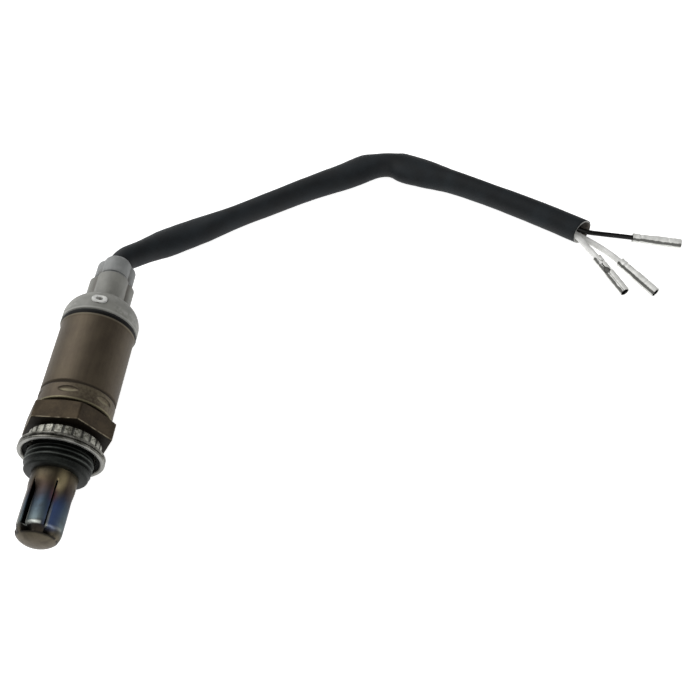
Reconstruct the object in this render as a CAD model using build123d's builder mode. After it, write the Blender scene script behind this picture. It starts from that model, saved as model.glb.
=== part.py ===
from build123d import *
import os
from math import cos, radians, sin, tan

# Heated thimble-type oxygen sensor with three flying leads, lying on a flat surface.
# Millimetres. The sensor's axis is Y with the nose towards -Y, and +Z is up.
# The origin is on that axis, in the underside of the hexagon.

os.makedirs("parts", exist_ok=True)

# ---- driving dimensions ---------------------------------------------------------------
hex_across_flats = 22.0
hex_height = 5.6
hex_corner_drop = 0.6          # how far the top chamfer lowers the corners
hex_turn = 3.3                 # the way the hexagon happens to lie, degrees about Y
thread_radius = 9.0            # M18 x 1.5
thread_start = -6.4            # the undercut behind it holds the captive ring
thread_end = -10.2
relief_radius = 8.15
pilot_radius = 8.5
shank_end = -11.6
groove_radius = 9.5            # the gap under the sleeve's rim
neck_radius = 10.0             # the part of the housing inside the sleeve
neck_top = 11.0
seat = -6.0                    # the step in the bore that carries the stack
nose_bore = 6.1
stack_bore = 6.9

ring_front = -6.25
ring_back = -1.1
ring_radius = 11.65
ring_skirt_radius = 9.8
ring_bore = 9.1
ring_flange = 2.0

tube_radius = nose_bore
tube_wall = 0.5
tube_tip = -31.3
dome_length = 4.9
flap_count = 6
flap_first = 121.0             # the free edge of the first louvre, degrees from +X to +Z
flap_span = 52.0               # degrees of the wall that one louvre takes
flap_top = -15.0
flap_bend = 1.8                # the louvre has its full turn this far below its top
flap_length = 11.2
window_length = 14.2
flap_turn = 14.0               # degrees that a louvre is turned in
flap_wall = 0.34
flap_root = 2.0                # degrees of it that lie inside the tube's wall
flap_slit = 4.0                # degrees left open along its free edge

sleeve_radius = 10.5
sleeve_wall = 0.5
sleeve_bottom = 6.6
sleeve_top = 35.3
sleeve_lip = 0.5               # how far the top rim flares
crimp_at = 11.9
crimp_depth = 0.35
stake_count = 6
stake_at = 9.4
stake_first = 28.0
stake_length, stake_width, stake_depth = 5.6, 1.7, 0.4

boot_radius = 11.0
boot_flange, boot_shoulder = 36.1, 38.8
gap_radius = 10.2              # of the groove between the sleeve's rim and the flange
boot_bulge_radius, boot_bulge = 9.85, 42.0
boot_root_radius, boot_root = 7.0, 44.6
lobe_first, lobe_count = 72.0, 3
low_reach, low_radius, low_top = 2.5, 4.5, 53.0
waist_reach, waist_radius, waist_top = 1.7, 3.9, 54.2
high_reach, high_radius, high_top = 2.1, 3.95, 60.3
mouth_radius, mouth_floor, mouth_round = 4.0, 56.6, 1.3
plug_bottom = 33.5
eyelet_turn, eyelet_at, eyelet_out = 81.0, 39.6, 10.86
eyelet_pitch = 13.0            # degrees that the eyelet faces away from the nose
eyelet_length, eyelet_width = 4.4, 2.8
eyelet_hole_length, eyelet_hole_width = 1.9, 1.2

lead_pitch = 2.05              # the three leads stand this far from the axis
lead_turns = {"black": 90.0, "white_a": 210.0, "white_b": 330.0}
lead_radii = {"black": 0.8, "white_a": 1.0, "white_b": 1.0}
lead_start = 31.0
ferrule_radius, ferrule_bottom, ferrule_top = 1.4, 24.6, 35.0

rest = -ring_radius            # the height of the surface that it lies on
sleeving_radius, sleeving_bore = 3.9, 3.3
lay = rest + sleeving_radius
sleeving_route = [
    (0.0, mouth_floor, 0.0), (0.0, 62.4, 0.0), (5.4, 68.6, -2.8), (11.8, 76.2, -6.1),
    (22.0, 84.9, lay), (43.5, 99.4, lay), (64.5, 112.6, lay), (75.5, 120.2, lay),
    (83.5, 119.6, lay), (98.3, 114.6, lay), (113.5, 108.6, lay), (128.8, 101.8, lay),
    (143.8, 94.5, lay),
]

terminal_length = 15.5
terminal_radius, terminal_bore = 1.6, 1.2
terminal_slot = 0.35
crimp_length, crimp_radius = 6.4, 1.45
wing_length, wing_radius = 2.0, 1.58
terminal_lay = rest + terminal_radius
terminal_starts = {"black": (160.7, 95.8), "white_a": (156.0, 85.0), "white_b": (148.7, 86.0)}
terminal_ends = {"black": (176.2, 94.5), "white_a": (166.3, 73.3), "white_b": (156.4, 73.2)}
# where each lead stands in the sleeving's open end: to the left of its middle, and above it
mouth_places = {"black": (0.4, -0.1), "white_a": (-0.2, -1.9), "white_b": (-2.05, -0.25)}
# one more point of each lead, outside the sleeving
lead_dips = {"black": (151.6, 96.6, -10.3), "white_a": (149.6, 91.1, -10.3),
             "white_b": (145.6, 90.4, -10.1)}


# ---- helpers --------------------------------------------------------------------------
def around(angle, radius, along):
    """The point at an angle about Y, measured from +X towards +Z."""
    return Vector(radius * cos(radians(angle)), along, radius * sin(radians(angle)))


def bend_radii(points):
    """The arcs that leave a tenth of every run straight, one for each corner."""
    radii = []
    for before, here, after in zip(points, points[1:], points[2:]):
        come = Vector(here) - Vector(before)
        go = Vector(after) - Vector(here)
        turn = come.get_angle(go)
        radii.append(0.45 * min(come.length, go.length) / tan(radians(turn / 2)))
    return radii


def flat_heading(points, index):
    """The level direction in which a route passes one of its points, and its half turn."""
    runs = []
    for first, last in ((index - 1, index), (index, index + 1)):
        if first >= 0 and last < len(points):
            run = Vector(points[last]) - Vector(points[first])
            runs.append(Vector(run.X, run.Y, 0).normalized())
    heading = (runs[0] + runs[-1]).normalized()
    return heading, radians(runs[0].get_angle(heading))


def beside(points, index, side, lift):
    """The place to the left of a point of a route, and above it."""
    heading, half_turn = flat_heading(points, index)
    left = Vector(-heading.Y, heading.X, 0) * (side / cos(half_turn))
    return Vector(points[index]) + left + Vector(0, 0, lift)


def follow(points, outer, inner=0.0):
    """A round cord, or a hose when it has a bore, along straight runs and arcs."""
    radii = bend_radii(points)
    with BuildPart() as cord:
        with BuildLine() as path:
            FilletPolyline(*points, radius=radii)
        along = Vector(points[1]) - Vector(points[0])
        with BuildSketch(Plane(points[0], z_dir=along)):
            Circle(outer)
            if inner > 0:
                Circle(inner, mode=Mode.SUBTRACT)
        sweep(path=path.line)
    length = sum(edge.length for edge in path.line.edges())
    print("  bend radii", [round(radius, 1) for radius in radii], "length", round(length, 1))
    return cord.part


def finish(part, name):
    """Names a piece and writes its file."""
    part.label = name
    export_step(part, f"parts/{name}.step")
    print(name, round(part.volume, 1), "solids", len(part.solids()))


# ---- housing: hexagon, relief, shank and the neck that carries the sleeve --------------
hex_corner = hex_across_flats / 2 / cos(radians(30))
with BuildPart() as housing:
    with BuildSketch(Plane.XZ):
        RegularPolygon(hex_corner, 6, rotation=hex_turn)
    extrude(amount=-hex_height)
    with BuildSketch(Plane.XY):
        with BuildLine():
            Polyline((0, 0), (hex_corner, 0), (hex_corner, hex_height - hex_corner_drop),
                     (hex_across_flats / 2 - 0.7, hex_height), (0, hex_height), close=True)
        make_face()
    revolve(axis=Axis.Y, mode=Mode.INTERSECT)
    with BuildSketch(Plane.XY):
        with BuildLine():
            Polyline((0, shank_end), (pilot_radius - 0.5, shank_end),
                     (pilot_radius, shank_end + 0.5), (pilot_radius, thread_end),
                     (thread_radius, thread_end + 0.5), (thread_radius, thread_start),
                     (relief_radius, thread_start + 0.8), (relief_radius, 1.0),
                     (groove_radius, 1.0), (groove_radius, sleeve_bottom),
                     (neck_radius, sleeve_bottom), (neck_radius, neck_top - 0.3),
                     (neck_radius - 0.3, neck_top), (0, neck_top), close=True)
        make_face()
    revolve(axis=Axis.Y)
    with BuildSketch(Plane.XY):
        with BuildLine():
            Polyline((0, shank_end - 1), (nose_bore, shank_end - 1), (nose_bore, seat),
                     (stack_bore, seat), (stack_bore, neck_top + 1), (0, neck_top + 1),
                     close=True)
        make_face()
    revolve(axis=Axis.Y, mode=Mode.SUBTRACT)
finish(housing.part, "housing")

# ---- seal ring: pressed sheet, a folded flange in front and a captive skirt behind -----
fold = ring_front + ring_flange
with BuildPart() as seal_ring:
    with BuildSketch(Plane.XY):
        with BuildLine():
            Polyline((ring_bore, ring_front), (ring_radius - 0.4, ring_front),
                     (ring_radius, ring_front + 0.35), (ring_radius, ring_front + 0.75),
                     (ring_radius - 0.8, ring_front + 1.0),
                     (ring_radius - 0.1, ring_front + 1.25), (ring_radius - 0.1, fold - 0.3),
                     (ring_radius - 0.6, fold), (ring_skirt_radius, fold + 0.15),
                     (ring_skirt_radius, ring_back - 0.3),
                     (ring_skirt_radius - 0.3, ring_back), (relief_radius, ring_back),
                     (relief_radius, ring_back - 0.6), (ring_bore, ring_back - 0.9),
                     close=True)
        make_face()
    revolve(axis=Axis.Y)
finish(seal_ring.part, "seal_ring")

# ---- protective tube: a drawn cap whose wall is cut and pressed in as six louvres ------
dome_start = tube_tip + dome_length
stack_step = seat + tube_wall
with BuildPart() as window:
    with BuildSketch(Plane.XZ.offset(-flap_top)):
        with BuildLine():
            rim = [around(flap_first - flap_span * step, 9, 0) for step in (0, 0.5, 1)]
            Polyline((0, 0), *[(point.X, point.Z) for point in rim], close=True)
        make_face()
    extrude(amount=window_length)

# a louvre is turned inwards about the long edge that it keeps
kept_edge = radians(flap_first - flap_span)
edge_radius = tube_radius - tube_wall / 2
edge_x, edge_z = edge_radius * cos(kept_edge), edge_radius * sin(kept_edge)
with BuildPart() as flap:
    for along, turn in ((flap_top + 0.4, 0.0), (flap_top - flap_bend, flap_turn),
                        (flap_top - flap_length, flap_turn)):
        middle_x = edge_x - edge_x * cos(radians(turn)) + edge_z * sin(radians(turn))
        middle_z = edge_z - edge_x * sin(radians(turn)) - edge_z * cos(radians(turn))
        first = flap_first - flap_span - flap_root + turn
        sweep_angle = flap_span + flap_root - flap_slit
        with BuildSketch(Plane.XZ.offset(-along)):
            with BuildLine():
                outside = CenterArc((middle_x, middle_z), edge_radius + flap_wall / 2,
                                    first, sweep_angle)
                inside = CenterArc((middle_x, middle_z), edge_radius - flap_wall / 2,
                                   first, sweep_angle)
                Line(outside @ 0, inside @ 0)
                Line(outside @ 1, inside @ 1)
            make_face()
    loft(ruled=True)

with BuildPart() as protective_tube:
    with BuildSketch(Plane.XY):
        with BuildLine():
            Line((stack_bore, seat), (tube_radius, seat))
            Line((tube_radius, seat), (tube_radius, dome_start))
            EllipticalCenterArc((0, dome_start), tube_radius, dome_length,
                                start_angle=270, arc_size=90)
            Line((0, tube_tip), (0, tube_tip + tube_wall))
            EllipticalCenterArc((0, dome_start), tube_radius - tube_wall,
                                dome_length - tube_wall, start_angle=270, arc_size=90)
            Line((tube_radius - tube_wall, dome_start), (tube_radius - tube_wall, stack_step))
            Line((tube_radius - tube_wall, stack_step), (stack_bore, stack_step))
            Line((stack_bore, stack_step), (stack_bore, seat))
        make_face()
    revolve(axis=Axis.Y)
    for turn in range(flap_count):
        add(window.part.rotate(Axis.Y, 360 / flap_count * turn), mode=Mode.SUBTRACT)
    for turn in range(flap_count):
        add(flap.part.rotate(Axis.Y, 360 / flap_count * turn))
finish(protective_tube.part, "protective_tube")

# ---- protective sleeve: rolled groove over the neck, staked dimples, flared rim --------
bore = sleeve_radius - sleeve_wall
lip = sleeve_top - 1.5
with BuildPart() as protective_sleeve:
    with BuildSketch(Plane.XY):
        with BuildLine():
            Polyline((bore, sleeve_bottom), (sleeve_radius - 0.2, sleeve_bottom),
                     (sleeve_radius, sleeve_bottom + 0.25), (sleeve_radius, crimp_at - 0.6),
                     (sleeve_radius - crimp_depth, crimp_at - 0.2),
                     (sleeve_radius - crimp_depth, crimp_at + 0.2),
                     (sleeve_radius, crimp_at + 0.6), (sleeve_radius, lip),
                     (sleeve_radius + sleeve_lip, sleeve_top), (bore + sleeve_lip, sleeve_top),
                     (bore, lip), (bore, crimp_at + 0.6),
                     (bore - crimp_depth, crimp_at + 0.2),
                     (bore - crimp_depth, crimp_at - 0.2), (bore, crimp_at - 0.6),
                     close=True)
        make_face()
    revolve(axis=Axis.Y)
    for turn in range(stake_count):
        angle = stake_first + 360 / stake_count * turn
        outward = around(angle, 1, 0)
        tangent = around(angle + 90, 1, 0)
        floor_of_stake = around(angle, sleeve_radius - stake_depth, stake_at)
        with BuildSketch(Plane(floor_of_stake, x_dir=tangent, z_dir=outward)):
            SlotOverall(stake_length, stake_width)
        extrude(amount=2, taper=-20, mode=Mode.SUBTRACT)
finish(protective_sleeve.part, "protective_sleeve")


# ---- boot: plug and flange, rounded shoulder, three-lobed neck and the sleeving's mouth -
def lobes(distance, radius):
    """Draws the neck's section in the current sketch."""
    Circle(radius)
    with PolarLocations(distance, lobe_count, start_angle=lobe_first):
        Circle(radius)


eyelet_face = Plane(around(eyelet_turn, eyelet_out, eyelet_at),
                    x_dir=around(eyelet_turn + 90, 1, 0),
                    z_dir=around(eyelet_turn, cos(radians(eyelet_pitch)),
                                 sin(radians(eyelet_pitch))))
with BuildPart() as grommet:
    with BuildSketch(Plane.XY):
        with BuildLine():
            Polyline((0, boot_root), (0, plug_bottom), (bore, plug_bottom), (bore, lip),
                     (bore + sleeve_lip, sleeve_top), (gap_radius, sleeve_top),
                     (gap_radius, boot_flange), (boot_radius - 0.3, boot_flange),
                     (boot_radius, boot_flange + 0.3), (boot_radius, boot_shoulder))
            ThreePointArc((boot_radius, boot_shoulder), (boot_bulge_radius, boot_bulge),
                          (boot_root_radius, boot_root))
            Line((boot_root_radius, boot_root), (0, boot_root))
        make_face()
    revolve(axis=Axis.Y)
    with BuildSketch(Plane.XZ.offset(-boot_shoulder)):
        lobes(low_reach, low_radius)
    extrude(amount=-(low_top - boot_shoulder))
    with BuildSketch(Plane.XZ.offset(-low_top)):
        lobes(waist_reach, waist_radius)
    extrude(amount=-(waist_top - low_top))
    with BuildSketch(Plane.XZ.offset(-waist_top)):
        lobes(high_reach, high_radius)
    extrude(amount=-(high_top - waist_top))
    fillet(grommet.faces().sort_by(Axis.Y)[-1].edges(), mouth_round)
    with BuildSketch(Plane.XZ.offset(-high_top - 1)):
        Circle(mouth_radius)
    extrude(amount=high_top + 1 - mouth_floor, mode=Mode.SUBTRACT)
    for name, angle in lead_turns.items():
        place = around(angle, lead_pitch, 0)
        with BuildSketch(Plane.XZ.offset(-plug_bottom + 1)):
            with Locations((place.X, place.Z)):
                Circle(lead_radii[name] + 0.1)
        extrude(amount=-(mouth_floor + 1 - plug_bottom), mode=Mode.SUBTRACT)
        with BuildSketch(Plane.XZ.offset(-plug_bottom + 1)):
            with Locations((place.X, place.Z)):
                Circle(ferrule_radius)
        extrude(amount=-(ferrule_top + 1 - plug_bottom), mode=Mode.SUBTRACT)
    with BuildSketch(eyelet_face.offset(-1.5)):
        SlotOverall(eyelet_length, eyelet_width)
    extrude(amount=4, mode=Mode.SUBTRACT)
finish(grommet.part, "grommet")

# ---- vent eyelet: an oval ring set into the boot's shoulder ----------------------------
with BuildPart() as vent_eyelet:
    with BuildSketch(eyelet_face.offset(-1.5)):
        SlotOverall(eyelet_length, eyelet_width)
        SlotOverall(eyelet_hole_length, eyelet_hole_width, mode=Mode.SUBTRACT)
    extrude(amount=1.75)
    outward = Axis(eyelet_face.origin, eyelet_face.z_dir)
    chamfer(vent_eyelet.faces().sort_by(outward)[-1].edges(), 0.15)
finish(vent_eyelet.part, "vent_eyelet")

# ---- the stack inside: tube flange, seal, ceramic thimble, contact, support tube -------
seal_top = stack_step + 0.6
collar_top = -1.0
thimble_top = 3.0
thimble_tip = -27.0
thimble_bore = 1.7
support_bore, support_radius, support_top = 3.6, 6.6, 22.0
with BuildPart() as element_seal:
    with BuildSketch(Plane.XZ.offset(-stack_step)):
        Circle(stack_bore)
        Circle(4.2, mode=Mode.SUBTRACT)
    extrude(amount=-(seal_top - stack_step))
finish(element_seal.part, "element_seal")

with BuildPart() as sensor_ceramic:
    with BuildSketch(Plane.XY):
        with BuildLine():
            Polyline((0, thimble_tip), (0.9, thimble_tip + 0.2), (1.8, thimble_tip + 0.9),
                     (2.2, thimble_tip + 2.0), (3.2, -11.0), (3.9, seal_top),
                     (6.3, seal_top), (6.7, seal_top + 0.4), (6.7, collar_top),
                     (3.5, collar_top), (3.5, thimble_top), (thimble_bore, thimble_top),
                     (thimble_bore, thimble_tip + 2.2), (1.0, thimble_tip + 1.2),
                     (0, thimble_tip + 1.0), close=True)
        make_face()
    revolve(axis=Axis.Y)
finish(sensor_ceramic.part, "sensor_ceramic")

with BuildPart() as contact_part:
    with BuildSketch(Plane.XZ.offset(-thimble_top)):
        Circle(3.55)
        Circle(2.0, mode=Mode.SUBTRACT)
    extrude(amount=-0.5)
    with BuildSketch(Plane.XZ.offset(-thimble_top - 0.4)):
        with Locations((0, 2.8)):
            Rectangle(1.6, 0.35)
    extrude(amount=-(ferrule_bottom - thimble_top - 0.4))
finish(contact_part.part, "contact_part")

with BuildPart() as support_tube:
    with BuildSketch(Plane.XZ.offset(-collar_top)):
        Circle(support_radius)
        Circle(support_bore, mode=Mode.SUBTRACT)
    extrude(amount=-(support_top - collar_top))
    chamfer(support_tube.faces().sort_by(Axis.Y)[-1].edges(), 0.3)
finish(support_tube.part, "support_tube")

with BuildPart() as disc_spring:
    with BuildSketch(Plane.XY):
        with BuildLine():
            Polyline((support_bore + 0.4, support_top), (support_bore + 2.0, support_top),
                     (9.5, support_top + 1.1), (9.5, support_top + 1.6),
                     (8.4, support_top + 1.6), (support_bore + 0.4, support_top + 0.6),
                     close=True)
        make_face()
    revolve(axis=Axis.Y)
finish(disc_spring.part, "disc_spring")

# ---- heater: a rod in the thimble's bore and the two clips that feed it ----------------
heater_radius, heater_top = 1.4, 21.0
clip_length, clip_wall = 3.4, 0.35
with BuildPart() as heater_rod:
    with BuildSketch(Plane.XZ.offset(-thimble_tip - 2.4)):
        Circle(heater_radius)
    extrude(amount=-(heater_top - thimble_tip - 2.4))
    fillet(heater_rod.faces().sort_by(Axis.Y)[0].edges(), 0.3)
finish(heater_rod.part, "heater_rod")

for clip, lead in (("heater_clip_a", "white_a"), ("heater_clip_b", "white_b")):
    middle = lead_turns[lead]
    with BuildPart() as heater_clip:
        with BuildSketch(Plane.XZ.offset(-heater_top + clip_length)):
            Circle(heater_radius + clip_wall)
            Circle(heater_radius, mode=Mode.SUBTRACT)
            rim = [around(middle + step, 5, 0) for step in (-50, 0, 50)]
            with BuildLine():
                Polyline((0, 0), *[(point.X, point.Z) for point in rim], close=True)
            make_face(mode=Mode.INTERSECT)
        extrude(amount=-clip_length)
        stem = around(middle, heater_radius + clip_wall / 2, 0)
        with BuildSketch(Plane.XZ.offset(-heater_top + 1)):
            with Locations(Location((stem.X, stem.Z), middle)):
                Rectangle(clip_wall, 1.0)
        extrude(amount=-(ferrule_bottom - heater_top + 1))
    finish(heater_clip.part, clip)

# ---- wire guide with its three ferrules -------------------------------------------------
guide_bottom = support_top + 1.6
with BuildPart() as wire_guide:
    with BuildSketch(Plane.XZ.offset(-guide_bottom)):
        Circle(bore)
    extrude(amount=-(plug_bottom - guide_bottom))
    with BuildSketch(Plane.XZ.offset(-guide_bottom)):
        Circle(support_bore + 0.2)
    extrude(amount=-(ferrule_bottom - guide_bottom), mode=Mode.SUBTRACT)
    for angle in lead_turns.values():
        place = around(angle, lead_pitch, 0)
        with BuildSketch(Plane.XZ.offset(-guide_bottom)):
            with Locations((place.X, place.Z)):
                Circle(ferrule_radius)
        extrude(amount=-(plug_bottom - guide_bottom), mode=Mode.SUBTRACT)
finish(wire_guide.part, "wire_guide")

ferrule_names = {"black": "signal_ferrule", "white_a": "heater_ferrule_a",
                 "white_b": "heater_ferrule_b"}
for lead, name in ferrule_names.items():
    place = around(lead_turns[lead], lead_pitch, 0)
    with BuildPart() as ferrule:
        with BuildSketch(Plane.XZ.offset(-ferrule_bottom)):
            with Locations((place.X, place.Z)):
                Circle(ferrule_radius)
        extrude(amount=-(ferrule_top - ferrule_bottom))
        with BuildSketch(Plane.XZ.offset(-ferrule_top)):
            with Locations((place.X, place.Z)):
                Circle(lead_radii[lead] + 0.05)
        extrude(amount=ferrule_top - lead_start, mode=Mode.SUBTRACT)
    finish(ferrule.part, name)

# ---- sleeving and the three leads that run through it ----------------------------------
finish(follow(sleeving_route, sleeving_radius, sleeving_bore), "sleeving")

wire_names = {"black": "black_wire", "white_a": "white_wire_a", "white_b": "white_wire_b"}
for lead, name in wire_names.items():
    place = around(lead_turns[lead], lead_pitch, 0)
    side, lift = -place.X, place.Z
    # the straight stretch inside the boot, in three runs that are not quite in line
    route = [(place.X, lead_start + 0.005, place.Z), (place.X * 1.02, 44.0, place.Z * 1.02),
             (place.X, 55.5, place.Z)]
    last = len(sleeving_route) - 1
    route += [beside(sleeving_route, index, side, lift) for index in range(1, last)]
    mouth = beside(sleeving_route, last, *mouth_places[lead])
    route += [(route[-1] + mouth) * 0.5 + Vector(0, 0, 0.02), mouth]
    route.append(lead_dips[lead])
    start, end = Vector(*terminal_starts[lead]), Vector(*terminal_ends[lead])
    heading = (end - start).normalized()
    tip = Vector(start.X, start.Y, terminal_lay)
    route += [tip - heading * 2.6, tip + heading * 3.0]
    finish(follow(route, lead_radii[lead]), name)

# ---- terminals: a crimped end, a step and a rolled socket, the same part three times ---
terminal_names = {"black": "connector_black", "white_a": "connector_white_a",
                  "white_b": "connector_white_b"}
for lead, name in terminal_names.items():
    start, end = Vector(*terminal_starts[lead]), Vector(*terminal_ends[lead])
    place = Plane((start.X, start.Y, terminal_lay), x_dir=end - start, z_dir=(0, 0, 1))
    with BuildPart() as terminal:
        with BuildSketch(Plane.XY):
            with BuildLine():
                Polyline((0, 0), (0, wing_radius), (wing_length, wing_radius),
                         (wing_length + 0.3, crimp_radius - 0.25),
                         (wing_length + 1.1, crimp_radius - 0.25),
                         (wing_length + 1.4, crimp_radius), (crimp_length - 0.6, crimp_radius),
                         (crimp_length, crimp_radius - 0.2),
                         (crimp_length + 0.5, terminal_radius),
                         (terminal_length - 0.2, terminal_radius),
                         (terminal_length, terminal_radius - 0.2), (terminal_length, 0),
                         close=True)
            make_face()
        revolve(axis=Axis.X)
        with BuildSketch(Plane.YZ.offset(-1)):
            Circle(lead_radii[lead])
        extrude(amount=1 + 3.0, mode=Mode.SUBTRACT)
        with BuildSketch(Plane.YZ.offset(crimp_length + 0.5)):
            Circle(terminal_bore)
        extrude(amount=terminal_length, mode=Mode.SUBTRACT)
        with Locations(((crimp_length + 0.5 + terminal_length) / 2, 0, terminal_radius)):
            Box(terminal_length - crimp_length, terminal_slot, 1.2, mode=Mode.SUBTRACT)
        with Locations((wing_length / 2 + 2.5, 0, crimp_radius + 0.15)):
            Box(crimp_length - 2.0, 0.3, 0.9, mode=Mode.SUBTRACT)
    finish(place.location * terminal.part, name)
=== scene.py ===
import bpy
from math import cos, sin, pi, radians, sqrt
from mathutils import Matrix, Vector


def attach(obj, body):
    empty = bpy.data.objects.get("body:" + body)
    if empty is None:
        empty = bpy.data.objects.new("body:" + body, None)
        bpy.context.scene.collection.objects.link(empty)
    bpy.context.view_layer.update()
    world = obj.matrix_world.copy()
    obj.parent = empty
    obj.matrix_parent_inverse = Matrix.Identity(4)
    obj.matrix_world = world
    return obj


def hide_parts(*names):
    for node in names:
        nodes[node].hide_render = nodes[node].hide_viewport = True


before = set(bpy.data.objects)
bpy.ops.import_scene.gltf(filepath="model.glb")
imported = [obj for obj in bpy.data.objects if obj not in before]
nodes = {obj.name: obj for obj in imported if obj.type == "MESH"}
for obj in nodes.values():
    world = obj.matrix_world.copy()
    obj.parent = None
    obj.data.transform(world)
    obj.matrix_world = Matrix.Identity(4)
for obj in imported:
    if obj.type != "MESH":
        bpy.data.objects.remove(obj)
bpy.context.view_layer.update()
mm = 0.001
rest = -11.65  # the height of the surface below the sensor's axis


class Wire:
    # one output of a node tree; sums and products on it add the nodes that work them out
    def __init__(self, tree, socket):
        self.tree = tree
        self.socket = socket

    def add(self, kind, settings=None, values=None, out=0):
        # any other node: its settings first, then its values and links
        node = self.tree.nodes.new(kind)
        for name, value in (settings or {}).items():
            if name == "stops":
                while len(node.color_ramp.elements) < len(value):
                    node.color_ramp.elements.new(0.5)
                for element, (at, colour) in zip(node.color_ramp.elements, value):
                    element.position = at
                    element.color = colour
            elif name == "points":
                curve = node.mapping.curves[0]
                while len(curve.points) < len(value):
                    curve.points.new(0.5, 0.5)
                for point, place in zip(curve.points, value):
                    point.location = place
                node.mapping.update()
            else:
                setattr(node, name, value)
        for name, value in (values or {}).items():
            if isinstance(value, Wire):
                self.tree.links.new(value.socket, node.inputs[name])
            else:
                node.inputs[name].default_value = value
        return Wire(self.tree, node.outputs[out])

    def work(self, operation, first, second):
        sides = (first, second)
        if any(isinstance(side, Wire) and side.socket.type == "VECTOR" for side in sides):
            whole = [side if isinstance(side, (Wire, tuple)) else (side,) * 3 for side in sides]
            return self.add("ShaderNodeVectorMath", {"operation": operation},
                            dict(enumerate(whole)))
        return self.add("ShaderNodeMath", {"operation": operation}, dict(enumerate(sides)))

    def __add__(self, other):
        return self.work("ADD", self, other)

    def __sub__(self, other):
        return self.work("SUBTRACT", self, other)

    def __mul__(self, other):
        return self.work("MULTIPLY", self, other)

    def __truediv__(self, other):
        return self.work("DIVIDE", self, other)

    def __radd__(self, other):
        return self.work("ADD", other, self)

    def __rsub__(self, other):
        return self.work("SUBTRACT", other, self)

    def __rmul__(self, other):
        return self.work("MULTIPLY", other, self)

    def __rtruediv__(self, other):
        return self.work("DIVIDE", other, self)

    def maths(self, operation, *others):
        return self.add("ShaderNodeMath", {"operation": operation},
                        dict(enumerate((self, *others))))

    def step(self, low, high):  # 0 below low, 1 above high, smooth between
        return self.add("ShaderNodeMapRange", {"interpolation_type": "SMOOTHSTEP"},
                        {"Value": self, "From Min": low, "From Max": high})

    def hump(self, middle, half):  # 1 at the middle, 0 a half away on either side
        return 1.0 - (self - middle).maths("ABSOLUTE").step(0.0, half)

    def mix(self, first, second):  # self is the share of the second colour
        return self.add("ShaderNodeMix", {"data_type": "RGBA"}, {0: self, 6: first, 7: second},
                        out=2)

    def choose(self, first, second):  # a number: the first where self is 0, else the second
        return self.add("ShaderNodeMix", {"data_type": "FLOAT"}, {0: self, 2: first, 3: second})

    def ramp(self, stops):
        return self.add("ShaderNodeValToRGB", {"stops": stops}, {"Fac": self})

    def noise(self, size, detail=4.0, rough=0.55):  # self is a place, size in mm
        return self.add("ShaderNodeTexNoise", {"noise_dimensions": "3D"},
                        {"Vector": self, "Scale": 1 / (size * mm), "Detail": detail,
                         "Roughness": rough})

    def axis(self, letter):
        return self.add("ShaderNodeSeparateXYZ", {}, {"Vector": self}, out="XYZ".index(letter))

    def join(self, second, third):  # three numbers as one place
        return self.add("ShaderNodeCombineXYZ", {}, {0: self, 1: second, 2: third})

    def reach(self):  # the length of a vector, in mm
        return self.add("ShaderNodeVectorMath", {"operation": "LENGTH"}, {0: self}, out=1) * 1000

    def dot(self, way):
        return self.add("ShaderNodeVectorMath", {"operation": "DOT_PRODUCT"}, {0: self, 1: way},
                        out=1)

    def turn(self):  # the angle of a place about the sensor's axis, from +X towards +Z
        return self.axis("Z").maths("ARCTAN2", self.axis("X"))

    def along(self):  # the distance of a place along the sensor's axis, in mm
        return self.axis("Y") * 1000

    def stored(self, name):  # a number that a mesh carries for its finish
        return self.add("ShaderNodeAttribute", {"attribute_name": name}, out="Fac")

    def store(self, name, value):  # self is a mesh, and the value stays with its points
        return self.add("GeometryNodeStoreNamedAttribute", {"data_type": "FLOAT"},
                        {"Geometry": self, "Name": name, "Value": value})

    def keep(self, **values):  # self is a curve, and carries the values on to its mesh
        node = self.tree.nodes.new("GeometryNodeCaptureAttribute")
        for name, value in values.items():
            node.capture_items.new("VECTOR" if value.socket.type == "VECTOR" else "FLOAT", name)
        for name, value in {"Geometry": self, **values}.items():
            self.tree.links.new(value.socket, node.inputs[name])
        return [Wire(self.tree, node.outputs[name]) for name in ("Geometry", *values)]

    def move(self, places):  # self is a mesh
        return self.add("GeometryNodeSetPosition", {}, {"Geometry": self, "Position": places})


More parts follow.
